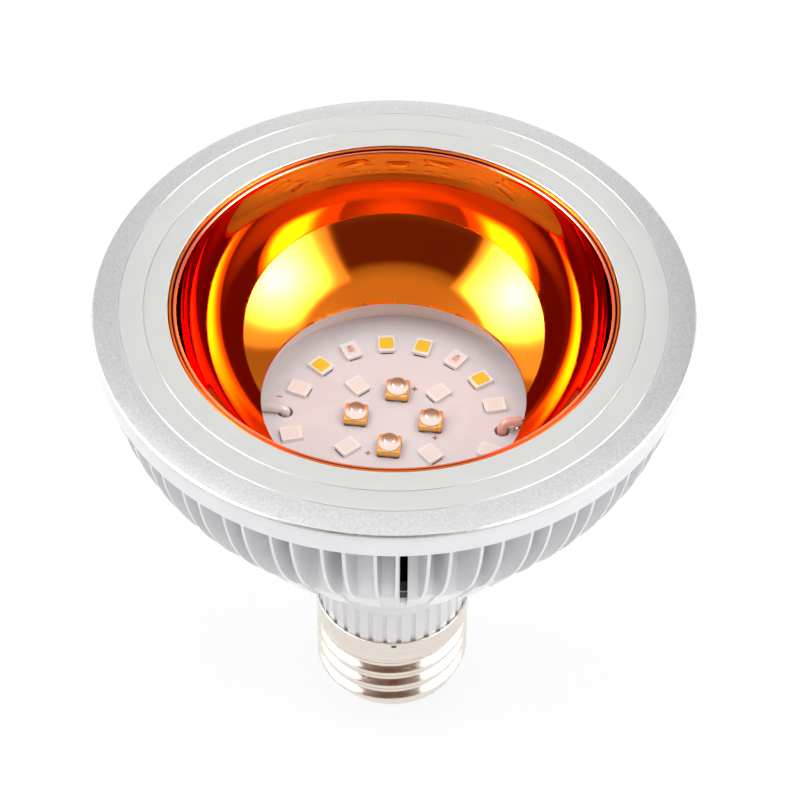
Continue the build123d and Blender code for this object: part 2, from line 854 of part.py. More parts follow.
# Centre contact: a domed button
contact_depth = insulator_depth + contact_h
with BuildPart() as centre_contact:
    with BuildSketch(Plane.XZ):
        with BuildLine():
            Polyline(
                (0, -contact_depth),
                (0, -insulator_depth),
                (contact_r, -insulator_depth),
                (contact_r, -insulator_depth - contact_land_h),
            )
            RadiusArc(
                (contact_r, -insulator_depth - contact_land_h),
                (0, -contact_depth),
                dome_radius(contact_r, contact_h - contact_land_h),
            )
        make_face()
    revolve(axis=Axis.Z)
export(centre_contact.part, "centre_contact")

# Cap leads: one to the centre contact, one to the shell between the spigot and the insulator
cap_lead_y = -(driver_t / 2 + cap_lead_r + press_gap)
z_neutral = (insulator_land_h - thread_end_depth - spigot_depth) / 2
neutral_end_x = sqrt(bore_r**2 - (cap_lead_r - cap_lead_y) ** 2) - press_gap
with BuildPart() as live_lead:
    with BuildLine():
        FilletPolyline(
            (live_lead_x, cap_lead_y, cap_lead_start_z),
            (live_lead_x, cap_lead_y, z_driver),
            (0, 0, insulator_land_h - thread_end_depth + cap_lead_r),
            (0, 0, -insulator_depth),
            radius=cap_lead_bend_r,
        )
    with BuildSketch(Plane((live_lead_x, cap_lead_y, cap_lead_start_z))):
        Circle(cap_lead_r)
    sweep()
export(live_lead.part, "live_lead")

with BuildPart() as neutral_lead:
    with BuildLine():
        FilletPolyline(
            (neutral_lead_x, cap_lead_y, cap_lead_start_z),
            (neutral_lead_x, cap_lead_y, z_neutral),
            (-neutral_end_x, cap_lead_y, z_neutral),
            radius=cap_lead_bend_r,
        )
    with BuildSketch(Plane((neutral_lead_x, cap_lead_y, cap_lead_start_z))):
        Circle(cap_lead_r)
    sweep()
export(neutral_lead.part, "neutral_lead")
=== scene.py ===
import json
from math import radians

import bpy
import numpy as np
from mathutils import Matrix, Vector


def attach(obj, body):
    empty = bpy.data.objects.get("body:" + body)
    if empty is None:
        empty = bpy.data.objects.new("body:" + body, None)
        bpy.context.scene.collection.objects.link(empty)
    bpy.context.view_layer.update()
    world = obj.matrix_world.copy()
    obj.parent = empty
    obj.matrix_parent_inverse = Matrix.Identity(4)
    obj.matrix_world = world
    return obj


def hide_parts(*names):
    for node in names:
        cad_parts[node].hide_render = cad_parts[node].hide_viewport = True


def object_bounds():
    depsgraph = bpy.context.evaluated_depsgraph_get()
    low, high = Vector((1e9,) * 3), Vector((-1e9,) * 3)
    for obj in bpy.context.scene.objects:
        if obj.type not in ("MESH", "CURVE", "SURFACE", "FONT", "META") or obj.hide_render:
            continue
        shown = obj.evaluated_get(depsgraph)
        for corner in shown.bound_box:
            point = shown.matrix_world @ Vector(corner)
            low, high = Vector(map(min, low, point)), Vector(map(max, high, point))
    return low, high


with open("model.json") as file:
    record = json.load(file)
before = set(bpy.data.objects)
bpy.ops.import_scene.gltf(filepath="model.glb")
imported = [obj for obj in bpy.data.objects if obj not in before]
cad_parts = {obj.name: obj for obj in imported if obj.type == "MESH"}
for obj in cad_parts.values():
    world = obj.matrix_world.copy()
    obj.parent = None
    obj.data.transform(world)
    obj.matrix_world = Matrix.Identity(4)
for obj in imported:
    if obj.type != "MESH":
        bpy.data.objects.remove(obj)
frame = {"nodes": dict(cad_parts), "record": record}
cad_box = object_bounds()
nodes = frame["nodes"]

MM = 0.001

# Heights and radii of the lamp in mm, from the rim of its screw cap upwards
Z_PLATE = 38.2  # underside of the base plate
Z_FACE = 42.2  # face of the LED board
Z_FOOT = 47.5  # foot of the reflector
Z_EDGE = 48.2  # lower edge of its mirror
Z_FLANGE = 69.1  # top of its flange, level with the front ring's underside
Z_UNDER_FLANGE = Z_FLANGE - 1.0
Z_TOP = 70.5  # top of the front ring
RING_R = 47.5
OPENING_R = 35.55
INNER_GROOVE, OUTER_GROOVE = OPENING_R + 3.75, OPENING_R + 7.65
CUP_R = 47.2
Z_CUP_TOP = 69.05
Z_CUP = 64.65
MOUTH_R = 34.4
EDGE_R = 21.5
BOARD_R = 25.5
CORE_R = 35.3
PATTERN_TURN = -6.0  # turn of the LED pattern, in degrees


# Shapes

def face_grid(rows, cols, close_rows, close_cols):
    """Quads between neighbouring rows and columns; a closed direction joins its last line to its first."""
    i = np.arange(rows if close_rows else rows - 1)[:, None]
    j = np.arange(cols if close_cols else cols - 1)[None, :]
    low, high = i * cols, ((i + 1) % rows) * cols
    here, right = j + 0 * i, (j + 1) % cols + 0 * i
    return np.stack([low + here, low + right, high + right, high + here], -1).reshape(-1, 4)


def skin(name, grids, poles=False):
    """Mesh of one or more equal grids of points in mm, whose columns close round. The rows close too, or
    with poles a fan of triangles closes the first and the last row of each grid at its middle. Faces
    turn outwards by the sign of the volume."""
    grids = grids if grids.ndim == 4 else grids[None]
    count, rows, cols = grids.shape[:3]
    spots = grids.reshape(count, -1, 3)
    quads = face_grid(rows, cols, not poles, True)
    fans = np.zeros((0, 3), int)
    if poles:
        j = np.arange(cols)
        k = (j + 1) % cols
        last = (rows - 1) * cols
        first_fan = np.stack([np.full(cols, rows * cols), k, j], 1)
        last_fan = np.stack([np.full(cols, rows * cols + 1), last + j, last + k], 1)
        fans = np.vstack([first_fan, last_fan])
        spots = np.concatenate([spots, grids[:, :1].mean(2), grids[:, -1:].mean(2)], 1)
    a, b, c, d = (spots[0][quads[:, n]] for n in range(4))
    volume = (a * np.cross(b, c)).sum() + (a * np.cross(c, d)).sum()
    if poles:
        a, b, c = (spots[0][fans[:, n]] for n in range(3))
        volume += (a * np.cross(b, c)).sum()
    if volume < 0:
        quads, fans = quads[:, ::-1], fans[:, ::-1]
    shift = np.arange(count)[:, None, None] * spots.shape[1]
    faces = (quads + shift).reshape(-1, 4).tolist() + (fans + shift).reshape(-1, 3).tolist()
    mesh = bpy.data.meshes.new(name)
    mesh.from_pydata((spots.reshape(-1, 3) * MM).tolist(), [], faces)
    return mesh


def turned(outline, steps):
    """Surface of revolution: an outline of (radius, height) carried round the axis in equal steps."""
    turn = np.linspace(0, 2 * np.pi, steps, endpoint=False)
    r, z = outline[:, 0, None], outline[:, 1, None]
    return np.stack([r * np.cos(turn), r * np.sin(turn), z + 0 * turn], -1)


def corner_arcs(spot, back, ahead, radius, steps):
    """Arc tangent to both sides of each corner: the centre lies on the bisector at radius / sin(half
    angle), and the arc swings from the first tangent point to the second by equal angles."""
    back = back / np.linalg.norm(back, axis=1)[:, None]
    ahead = ahead / np.linalg.norm(ahead, axis=1)[:, None]
    half = np.arccos(np.clip((back * ahead).sum(1), -1, 1)) / 2
    middle = back + ahead
    middle = middle / np.linalg.norm(middle, axis=1)[:, None]
    centre = spot + middle * (radius / np.sin(half))[:, None]
    first = spot + back * (radius / np.tan(half))[:, None] - centre
    last = spot + ahead * (radius / np.tan(half))[:, None] - centre
    span = (np.pi - 2 * half)[:, None, None]
    t = np.linspace(0, 1, steps)[None, :, None]
    swing = np.sin((1 - t) * span) * first[:, None] + np.sin(t * span) * last[:, None]
    return centre[:, None] + swing / np.sin(span)


def round_outline(corners, steps):
    """Closed outline whose corners (x, y, radius) are arcs tangent to the two sides that meet there."""
    table = np.array(corners, float)
    spot = table[:, :2]
    back, ahead = np.roll(spot, 1, 0) - spot, np.roll(spot, -1, 0) - spot
    return corner_arcs(spot, back, ahead, table[:, 2], steps).reshape(-1, 2)


def bent_path(points, radius, steps):
    """Open path through points in space, with each inner corner rounded to the given radius."""
    spot = np.array(points, float)
    inner = spot[1:-1]
    arcs = corner_arcs(inner, spot[:-2] - inner, spot[2:] - inner, np.full(len(inner), radius), steps)
    return np.vstack([spot[:1], arcs.reshape(-1, 3), spot[-1:]])


def arc(centre, radius, first, last, steps):
    """Points of a circle from one angle to another, in degrees."""
    a = np.radians(np.linspace(first, last, steps))
    return np.stack([centre[0] + radius * np.cos(a), centre[1] + radius * np.sin(a)], 1)


def tube(path, radius, across, sides=28):
    """Round tube: a circle carried along a flat path. One axis of the circle is the direction across
    the path's plane, the other is square to that and to the path's own direction."""
    along = np.gradient(path, axis=0)
    along = along / np.linalg.norm(along, axis=1)[:, None]
    side = np.array(across, float)
    other = np.cross(along, side)
    turn = np.linspace(0, 2 * np.pi, sides, endpoint=False)
    ring = np.cos(turn)[None, :, None] * side + np.sin(turn)[None, :, None] * other[:, None]
    return path[:, None] + radius * ring


def polar(radius, degrees):
    """Point at a radius and an angle, at height 0."""
    a = np.radians(degrees)
    return np.array([radius * np.cos(a), radius * np.sin(a), 0.0])


def rise(x, first, last):
    """Smooth step from 0 to 1 between two values."""
    t = np.clip((x - first) / (last - first), 0, 1)
    return t * t * (3 - 2 * t)


def set_round(shape, places, facing=None):
    """Copies of a shape drawn about the axis, each moved to a radius and an angle in degrees. A copy is
    turned by its own angle, or by the facing angle where one is given."""
    table = np.array(places, float)
    away = np.radians(table[:, 1])[:, None, None]
    a = away if facing is None else np.radians(facing)
    x, y = shape[None, ..., 0], shape[None, ..., 1]
    out = table[:, 0][:, None, None]
    z = shape[None, ..., 2] + 0 * away
    return np.stack([x * np.cos(a) - y * np.sin(a) + out * np.cos(away),
                     x * np.sin(a) + y * np.cos(a) + out * np.sin(away), z], -1)


def pillow(long, wide, low, high, power=5.0, crown=0.3, rows=9, cols=48):
    """Closed pad on a rounded rectangle: each ring is a superellipse of that power, and the height
    rises from the rim to the middle by the crown, as one minus the square of the ring's share."""
    turn = np.linspace(0, 2 * np.pi, cols, endpoint=False)
    c, s = np.cos(turn), np.sin(turn)
    x = 0.5 * long * np.sign(c) * np.abs(c) ** (2 / power)
    y = 0.5 * wide * np.sign(s) * np.abs(s) ** (2 / power)
    inwards = np.linspace(1, 0.12, rows)
    share = np.concatenate([[0.5, 0.985], inwards])[:, None]
    height = np.concatenate([[low, low], high - crown * inwards ** 2])[:, None]
    return np.stack([share * x, share * y, height + 0 * x], -1)


# Finishes

def tone(red, green, blue):
    """Linear colour of a display colour given from 0 to 255."""
    c = np.array([red, green, blue]) / 255
    lin = np.where(c <= 0.04045, c / 12.92, ((c + 0.055) / 1.055) ** 2.4)
    return (*lin.tolist(), 1.0)


class Finish:
    """A node material with a Principled shader and short ways to add texture to it."""

    def __init__(self, name, colour, roughness, **sockets):
        self.material = bpy.data.materials.new(name)
        self.material.use_nodes = True
        self.tree = self.material.node_tree
        self.shader = self.tree.nodes["Principled BSDF"]
        self.set("Base Color", colour)
        self.set("Roughness", roughness)
        for key, value in sockets.items():
            self.set(key.replace("_", " "), value)
        self.place = self.node("ShaderNodeTexCoord").outputs["Object"]

    def set(self, socket, value):
        self.shader.inputs[socket].default_value = value

    def node(self, kind, inputs=None, **settings):
        made = self.tree.nodes.new(kind)
        for key, value in settings.items():
            setattr(made, key, value)
        for key, value in (inputs or {}).items():
            if isinstance(value, bpy.types.NodeSocket):
                self.tree.links.new(value, made.inputs[key])
            else:
                made.inputs[key].default_value = value
        return made

    def link(self, source, socket):
        self.tree.links.new(source, self.shader.inputs[socket])

    def stretched(self, x, y, z):
        """Object coordinates times a factor on each axis."""
        return self.node("ShaderNodeMapping", {"Vector": self.place, "Scale": (x, y, z)}).outputs[0]

    def noise(self, size_mm, detail=4.0, roughness=0.55, where=None):
        """Cloudy noise whose blotches are about size_mm across."""
        spot = self.place if where is None else where
        made = self.node("ShaderNodeTexNoise", {"Vector": spot, "Scale": 1000 / size_mm,
                                                "Detail": detail, "Roughness": roughness})
        return made.outputs["Fac"]

    def radius(self):
        """Distance from the lamp's axis, in metres."""
        flat = self.node("ShaderNodeVectorMath", {0: self.place, 1: (1, 1, 0)}, operation="MULTIPLY")
        return self.node("ShaderNodeVectorMath", {0: flat.outputs[0]}, operation="LENGTH").outputs["Value"]

    def axis(self, letter):
        return self.node("ShaderNodeSeparateXYZ", {0: self.place}).outputs[letter]

    def span(self, source, low, high, out_low, out_high, smooth=False):
        """Value carried from one range to another and held at its ends."""
        made = self.node("ShaderNodeMapRange", {"Value": source, "From Min": low, "From Max": high,
                                                "To Min": out_low, "To Max": out_high})
        made.interpolation_type = "SMOOTHSTEP" if smooth else "LINEAR"
        return made.outputs["Result"]

    def math(self, operation, first, second=0.0):
        return self.node("ShaderNodeMath", {0: first, 1: second}, operation=operation).outputs[0]

    def mix(self, share, first, second):
        """Colour between two colours by a share from 0 to 1."""
        made = self.node("ShaderNodeMix", data_type="RGBA")
        for key, value in ((0, share), (6, first), (7, second)):
            if isinstance(value, bpy.types.NodeSocket):
                self.tree.links.new(value, made.inputs[key])
            else:
                made.inputs[key].default_value = value
        return made.outputs[2]

    def bump(self, height, depth_mm, strength=1.0):
        """Relief of the surface by a height from 0 to 1 over a depth."""
        made = self.node("ShaderNodeBump", {"Height": height, "Distance": depth_mm * MM,
                                            "Strength": strength})
        self.link(made.outputs[0], "Normal")

    def uneven_gloss(self, size_mm, low, high):
        """Roughness that wanders between two values, with noise of that size."""
        self.link(self.span(self.noise(size_mm), 0.3, 0.7, low, high), "Roughness")


def amber_mirror():
    """Amber lacquer over bright metal: almost a mirror, with faint flow in the lacquer."""
    f = Finish("amber_mirror", (0.93, 0.195, 0.006, 1), 0.03, Metallic=1.0,
               Specular_Tint=(1.0, 0.15, 0.02, 1), Coat_Weight=0.1, Coat_Roughness=0.02)
    flow = f.span(f.noise(14.0, 2.0), 0.3, 0.7, 0, 1)
    f.link(f.mix(flow, (0.95, 0.205, 0.007, 1), (0.91, 0.185, 0.005, 1)), "Base Color")
    f.link(f.span(f.noise(3.0), 0.35, 0.7, 0.02, 0.05), "Roughness")
    f.bump(f.noise(9.0, 1.0), 0.02, 0.25)
    return f.material


def bowl_back():
    """Outside of the bowl: moulded plastic, dark brown with a fine grain; the dark brown is painted shade for
    the seam it is seen through.
    """
    f = Finish("bowl_back", tone(38, 26, 20), 0.5)
    f.link(f.mix(f.noise(2.0), tone(30, 20, 15), tone(48, 32, 24)), "Base Color")
    f.bump(f.noise(0.4), 0.02, 0.4)
    return f.material


def ring_aluminium():
    """Satin turned aluminium: even and fine inside, blasted and sparkling on the outer land."""
    f = Finish("ring_aluminium", tone(205, 205, 203), 0.32, Metallic=1.0)
    r = f.radius()
    outer = f.span(r, (OUTER_GROOVE + 0.1) * MM, (OUTER_GROOVE + 0.4) * MM, 0, 1)
    grain = f.noise(0.4, 3.0, 0.7)
    fine = f.span(grain, 0.32, 0.68, 0, 1)
    plain = f.mix(f.noise(6.0, 3.0), tone(203, 204, 202), tone(209, 209, 207))
    blasted = f.mix(fine, tone(184, 185, 184), tone(207, 207, 206))
    f.link(f.mix(outer, plain, blasted), "Base Color")
    f.uneven_gloss(0.6, 0.29, 0.35)
    relief = f.math("MULTIPLY", grain, f.span(outer, 0, 1, 0.1, 1.0))
    f.bump(relief, 0.018, 0.35)
    return f.material


def white_paint(name, colour, rough):
    """White gloss paint on metal: faint clouds in the coat and a slight orange peel."""
    f = Finish(name, tone(*colour), rough, Specular_IOR_Level=0.35)
    darker = tuple(int(c * 0.98) for c in colour)
    f.link(f.mix(f.span(f.noise(5.0, 3.0), 0.3, 0.7, 0, 1), tone(*darker), tone(*colour)), "Base Color")
    f.uneven_gloss(3.0, rough - 0.04, rough + 0.05)
    f.bump(f.noise(1.6, 1.0), 0.002, 0.25)
    return f.material


def neck_plastic():
    """White moulded plastic with a fine spark-eroded grain."""
    f = Finish("neck_plastic", tone(228, 226, 227), 0.36, Specular_IOR_Level=0.5)
    f.link(f.mix(f.noise(4.0), tone(226, 224, 225), tone(231, 229, 230)), "Base Color")
    f.uneven_gloss(0.7, 0.30, 0.42)
    f.bump(f.noise(0.25), 0.012, 0.35)
    return f.material


def cap_nickel():
    """Nickel plate with a warm cast, faintly brushed round by the rolling."""
    f = Finish("cap_nickel", tone(226, 217, 208), 0.2, Metallic=1.0)
    ring = f.noise(1.6, 4.0, 0.6, f.stretched(0.15, 0.15, 6.0))
    f.link(f.mix(ring, tone(232, 224, 216), tone(218, 208, 197)), "Base Color")
    f.uneven_gloss(2.0, 0.15, 0.24)
    f.bump(ring, 0.005, 0.25)
    return f.material


def plain_metal(name, colour, rough, grain_mm=0.5):
    """Bare metal with a fine grain."""
    f = Finish(name, tone(*colour), rough, Metallic=1.0)
    darker = tuple(int(c * 0.9) for c in colour)
    f.link(f.mix(f.noise(2.0), tone(*darker), tone(*colour)), "Base Color")
    f.uneven_gloss(0.7, rough * 0.8, rough * 1.25)
    f.bump(f.noise(grain_mm), 0.01, 0.3)
    return f.material


def plain_body(name, colour, rough, grain_mm=0.4, variety=0.9, **sockets):
    """Coloured plastic, ceramic or lacquer with slight mottling and a fine grain."""
    f = Finish(name, tone(*colour), rough, **sockets)
    darker = tuple(int(c * variety) for c in colour)
    f.link(f.mix(f.noise(1.2), tone(*darker), tone(*colour)), "Base Color")
    f.uneven_gloss(0.6, rough * 0.85, min(1.0, rough * 1.2))
    f.bump(f.noise(grain_mm), 0.01, 0.3)
    return f.material


def board_mask():
    """White solder mask with a faint pinkish cast, a painted tint of the amber light from the bowl, over
    faint copper fields and a fine orange peel.
    """
    f = Finish("board_mask", tone(230, 227, 230), 0.38, Specular_IOR_Level=0.5)
    field = f.span(f.noise(9.0, 1.0, 0.4), 0.46, 0.5, 0, 1, True)
    f.link(f.mix(field, tone(229, 226, 229), tone(232, 229, 231)), "Base Color")
    f.uneven_gloss(0.5, 0.33, 0.45)
    f.bump(f.math("ADD", f.math("MULTIPLY", field, 0.6), f.math("MULTIPLY", f.noise(0.25), 0.3)), 0.02, 0.3)
    return f.material


def uv_gold():
    """Gold plate, darker and browner towards the foot, with a fine grain."""
    f = Finish("uv_gold", tone(236, 186, 104), 0.42, Metallic=1.0)
    height = f.span(f.axis("Z"), (Z_FACE + 0.2) * MM, (Z_FACE + 1.0) * MM, 0, 1, True)
    mottle = f.mix(f.noise(0.6), tone(224, 172, 92), tone(240, 192, 112))
    f.link(f.mix(height, tone(140, 112, 78), mottle), "Base Color")
    f.uneven_gloss(0.5, 0.36, 0.48)
    f.bump(f.noise(0.3), 0.01, 0.3)
    return f.material


def uv_floor():
    """White floor under the glass whose far half is brown, a painted reflection of the LED cup's wall, by the
    share stored on the piece.
    """
    f = Finish("uv_floor", tone(253, 250, 247), 0.4)
    share = f.node("ShaderNodeAttribute", attribute_name="painted_reflection").outputs["Fac"]
    brown = f.mix(f.noise(0.4), tone(150, 102, 58), tone(172, 124, 80))
    f.link(f.mix(share, tone(253, 250, 247), brown), "Base Color")
    f.bump(f.noise(0.3), 0.005, 0.3)
    return f.material


def clear_glass():
    """Clear glass of the UV emitters."""
    f = Finish("uv_glass", tone(252, 250, 246), 0.02, Transmission_Weight=1.0, IOR=1.46)
    f.uneven_gloss(0.5, 0.0, 0.03)
    return f.material


AMBER = amber_mirror()
BOWL_BACK = bowl_back()
# The lip's dark red finish is painted shade in the groove between its beads and on the outer bead's flank;
# its pale finish is a painted highlight on the inner bead's crest
LIP_PAINTED_SHADE = plain_metal("lip_painted_shade", (160, 30, 8), 0.15)
LIP_PAINTED_HIGHLIGHT = plain_metal("lip_painted_highlight", (234, 138, 114), 0.15)
RING = ring_aluminium()
RIM_WHITE = white_paint("rim_white", (243, 243, 246), 0.32)
FIN_WHITE = white_paint("fin_white", (238, 238, 240), 0.38)
CORE_WHITE = white_paint("core_white", (236, 236, 238), 0.35)
NECK = neck_plastic()
NICKEL = cap_nickel()
SEAT = plain_body("seat_white", (254, 250, 245), 0.2, 3.0, 0.99)
PLATE = plain_metal("plate_anodised", (54, 50, 48), 0.5)
SOLDER = plain_metal("solder_tin", (206, 206, 206), 0.25)
STEEL = plain_metal("screw_zinc", (186, 188, 192), 0.35)
TERMINAL = plain_metal("led_terminal", (96, 84, 76), 0.4)
CONTACT = plain_metal("contact_tinned", (206, 190, 158), 0.3)
BOARD = board_mask()
LED_WHITE = plain_body("led_white", (252, 249, 246), 0.42, variety=0.98)
WARM_GEL = plain_body("warm_gel", (254, 212, 44), 0.4, variety=0.98)
PALE_GEL = plain_body("pale_gel", (246, 240, 232), 0.35, variety=0.98)
CLEAR_GEL = plain_body("clear_gel", (250, 244, 239), 0.15, variety=0.98)
RED_CHIP = plain_body("red_chip", (240, 186, 166), 0.4)
CHIP_BAR = plain_body("chip_bar", (118, 92, 84), 0.4)
UV_GOLD = uv_gold()
UV_FLOOR = uv_floor()
UV_FOOT = plain_metal("uv_foot", (112, 96, 84), 0.35, 0.3)
GLASS = clear_glass()
LEAD_PINK = plain_body("lead_pink", (252, 186, 172), 0.4, variety=0.97)
LEAD_BEIGE = plain_body("lead_beige", (234, 229, 223), 0.4, variety=0.98)
PRINT_RED = plain_body("print_red", (196, 110, 98), 0.5)
INSULATOR = plain_body("insulator_black", (26, 24, 24), 0.12)
DRIVER = plain_body("driver_green", (32, 92, 54), 0.4)
CHIP = plain_body("chip_black", (28, 28, 30), 0.5)
SLEEVE = plain_body("capacitor_sleeve", (34, 42, 62), 0.3)
FERRITE = plain_body("ferrite_grey", (62, 62, 66), 0.6)
COPPER = plain_metal("winding_copper", (184, 104, 62), 0.3)
FILM = plain_body("film_red", (150, 42, 30), 0.25)
CRIMP_DARK = plain_body("crimp_shadow", (46, 36, 28), 0.5)

FINISH_OF_SLOT = {
    "ring_aluminium": RING, "rim_paint": RIM_WHITE, "amber_mirror": AMBER, "seat_mirror": SEAT,
    "board_mask": BOARD, "led_pale": LED_WHITE, "led_warm": LED_WHITE, "led_red": LED_WHITE,
    "uv_base": UV_GOLD, "uv_glass": GLASS, "lead_pink": LEAD_PINK, "lead_beige": LEAD_BEIGE,
    "solder": SOLDER, "fin_paint": FIN_WHITE, "core_paint": CORE_WHITE, "plate_aluminium": PLATE,
    "neck_plastic": NECK, "screw_steel": STEEL, "cap_nickel": NICKEL, "insulator_glass": INSULATOR,
    "contact_brass": CONTACT, "driver_green": DRIVER, "chip_black": CHIP, "capacitor_sleeve": SLEEVE,
    "ferrite": FERRITE, "copper_wire": COPPER, "film_red": FILM,
}
for row in frame["record"]["subparts"]:
    shown = nodes[row["node"]]
    finish = FINISH_OF_SLOT[row["material_slot"]]
    if shown.material_slots:
        shown.material_slots[0].material = finish
    else:
        shown.data.materials.append(finish)


def set_piece(mesh, finishes, stands_for=(), sharp=32, finish_of=None):
    """Makes an object of a mesh, smooth but for edges sharper than the angle, riding on the lamp.
    finish_of gives the number of the finish by the face middles in mm."""
    finishes = finishes if isinstance(finishes, tuple) else (finishes,)
    for finish in finishes:
        mesh.materials.append(finish)
    if finish_of is not None:
        middles = np.zeros(len(mesh.polygons) * 3, np.float32)
        mesh.polygons.foreach_get("center", middles)
        pick = finish_of(middles.reshape(-1, 3) / MM).astype(np.int32)
        mesh.polygons.foreach_set("material_index", pick)
    mesh.shade_smooth()
    mesh.set_sharp_from_angle(angle=radians(sharp))
    piece = bpy.data.objects.new(mesh.name, mesh)
    bpy.context.scene.collection.objects.link(piece)
    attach(piece, "root")
    if stands_for:
        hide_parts(*stands_for)
    return piece


def set_pads(name, pad, places, finish):
    """One piece of equal pads, each at a radius and an angle in degrees."""
    set_piece(skin(name, set_round(pad, places), poles=True), finish)


# Front ring: turned from an outline with two fine steep grooves, a sloping outer land and a narrow bevel
GROOVE_HALF, GROOVE_FLOOR_HALF, GROOVE_DEPTH = 0.1, 0.05, 0.22
SKIRT_R = CUP_R - 1.25
SKIRT_INNER_R = SKIRT_R - 1.1
Z_SKIRT = Z_FLANGE - 3.2


def turned_groove(middle):
    """Corners of a groove in the ring's top: down one flank, over its floor and up the other flank."""
    floor = Z_TOP - GROOVE_DEPTH
    return [(middle - GROOVE_HALF, Z_TOP, 0.02), (middle - GROOVE_FLOOR_HALF, floor, 0.01),
            (middle + GROOVE_FLOOR_HALF, floor, 0.01), (middle + GROOVE_HALF, Z_TOP, 0.02)]


ring_outline = round_outline([
    (OPENING_R, Z_FLANGE, 0.03), (OPENING_R, Z_TOP, 0.08),
    *turned_groove(INNER_GROOVE), *turned_groove(OUTER_GROOVE),
    (RING_R - 0.2, Z_TOP - 0.8, 0.12), (RING_R, Z_TOP - 1.1, 0.1), (RING_R, Z_FLANGE, 0.02),
    (SKIRT_R, Z_FLANGE, 0.05), (SKIRT_R, Z_SKIRT, 0.1),
    (SKIRT_INNER_R, Z_SKIRT, 0.1), (SKIRT_INNER_R, Z_FLANGE, 0.05),
], 6)
set_piece(skin("front_ring_turned", turned(ring_outline, 360)), RING, ["front_ring"], 50)

# Rim cup: a turned channel with a small tab that hangs in the seam of the fin core
CUP_INNER_R = MOUTH_R + 0.85
CUP_LEDGE_R = CORE_R - 0.4
CUP_WALL = 1.2
Z_CUP_FLOOR = Z_CUP + 1.0
SEAM_TURN = -87.0  # the seam's angle round the axis, in degrees
cup_outline = round_outline([
    (CUP_LEDGE_R, Z_CUP, 0.1), (CUP_R, Z_CUP, 0.3), (CUP_R, Z_CUP_TOP, 0.15),
    (CUP_R - CUP_WALL, Z_CUP_TOP, 0.1), (CUP_R - CUP_WALL, Z_CUP_FLOOR, 0.2),
    (CUP_INNER_R + CUP_WALL, Z_CUP_FLOOR, 0.2), (CUP_INNER_R + CUP_WALL, Z_UNDER_FLANGE, 0.1),
    (CUP_INNER_R, Z_UNDER_FLANGE, 0.1), (CUP_INNER_R, Z_CUP_FLOOR, 0.1), (CUP_LEDGE_R, Z_CUP_FLOOR, 0.1),
], 6)
set_piece(skin("rim_cup_turned", turned(cup_outline, 360)), RIM_WHITE, ["rim_cup"], 50)
tab = pillow(0.4, 0.5, Z_CUP - 2.0, Z_CUP + 0.05, 14.0, 0.0, 3, 32)
set_pads("rim_cup_tab", tab, [(CORE_R, SEAM_TURN)], RIM_WHITE)

# Reflector: the bowl is one arc between the foot's edge and the mouth, which it meets almost upright,
# and its lip is two round beads side by side
INNER_BEAD, INNER_BEAD_R = (MOUTH_R + 0.16, Z_FLANGE + 0.75), 0.3
OUTER_BEAD, OUTER_BEAD_R = (MOUTH_R + 0.8, Z_FLANGE + 0.95), 0.26
LIP_R = MOUTH_R + 1.06
FLANGE_R = MOUTH_R + 2.35
FOOT_R = BOARD_R - 0.15
LEAN = 2.5  # degrees off upright at the mouth
chord = np.array([MOUTH_R - EDGE_R, Z_FLANGE - Z_EDGE])
reach = np.hypot(*chord)
BULGE = reach / 2 * np.tan((np.arctan2(*chord) - radians(LEAN)) / 2)
BOWL_R = (reach ** 2 / 4 + BULGE ** 2) / (2 * BULGE)
square = np.array([chord[1], -chord[0]]) / reach
bowl_centre = np.array([EDGE_R, Z_EDGE]) + chord / 2 - (BOWL_R - BULGE) * square
low_angle = np.degrees(np.arctan2(Z_EDGE - bowl_centre[1], EDGE_R - bowl_centre[0]))
high_angle = np.degrees(np.arctan2(Z_FLANGE - bowl_centre[1], MOUTH_R - bowl_centre[0]))
OUTER_BOWL_R = BOWL_R + 0.7
outer_high = np.degrees(np.arcsin((Z_UNDER_FLANGE - bowl_centre[1]) / OUTER_BOWL_R))
outer_low = np.degrees(np.arcsin((Z_EDGE - bowl_centre[1]) / OUTER_BOWL_R))
bowl_outline = np.vstack([
    arc(bowl_centre, BOWL_R, low_angle, high_angle, 110),
    arc(INNER_BEAD, INNER_BEAD_R, 178, -40, 20),
    [[MOUTH_R + 0.5, Z_FLANGE + 0.5]],
    arc(OUTER_BEAD, OUTER_BEAD_R, 215, 2, 16),
    round_outline([(LIP_R, Z_FLANGE, 0.04), (FLANGE_R, Z_FLANGE, 0.05), (FLANGE_R, Z_UNDER_FLANGE, 0.05)], 3),
    arc(bowl_centre, OUTER_BOWL_R, outer_high, outer_low, 40),
    [[FOOT_R - 0.05, Z_EDGE], [FOOT_R, Z_EDGE - 0.05], [FOOT_R, Z_FOOT],
     [EDGE_R + 0.08, Z_FOOT], [EDGE_R, Z_FOOT + 0.08], [EDGE_R, Z_EDGE - 0.06]],
])


def bowl_finish(spots):
    """1 on faces outside the mirror, which lie outside the bowl's arc and below the lip, 2 in the groove
    between the beads and on the outer bead's flank, for a painted shade, 3 on the inner bead's crest, for a
    painted highlight, else 0."""
    r, z = np.hypot(spots[:, 0], spots[:, 1]), spots[:, 2]
    away = np.hypot(r - bowl_centre[0], z - bowl_centre[1])
    back = (away > BOWL_R + 0.15) & (z < Z_FLANGE - 0.02) & (r > EDGE_R + 0.3)
    crest = (r < MOUTH_R + 0.27) & (z > Z_FLANGE + 0.95)
    groove = (r > MOUTH_R + 0.2) & (r < MOUTH_R + 0.62) & (z > Z_FLANGE + 0.4) & ~crest
    flank = (r > MOUTH_R + 0.93) & (r < MOUTH_R + 1.1) & (z > Z_FLANGE + 0.3)
    return back + 2 * (groove | flank) + 3 * crest


set_piece(skin("reflector_bowl", turned(bowl_outline, 360)),
          (AMBER, BOWL_BACK, LIP_PAINTED_SHADE, LIP_PAINTED_HIGHLIGHT), ["reflector"], 40, bowl_finish)

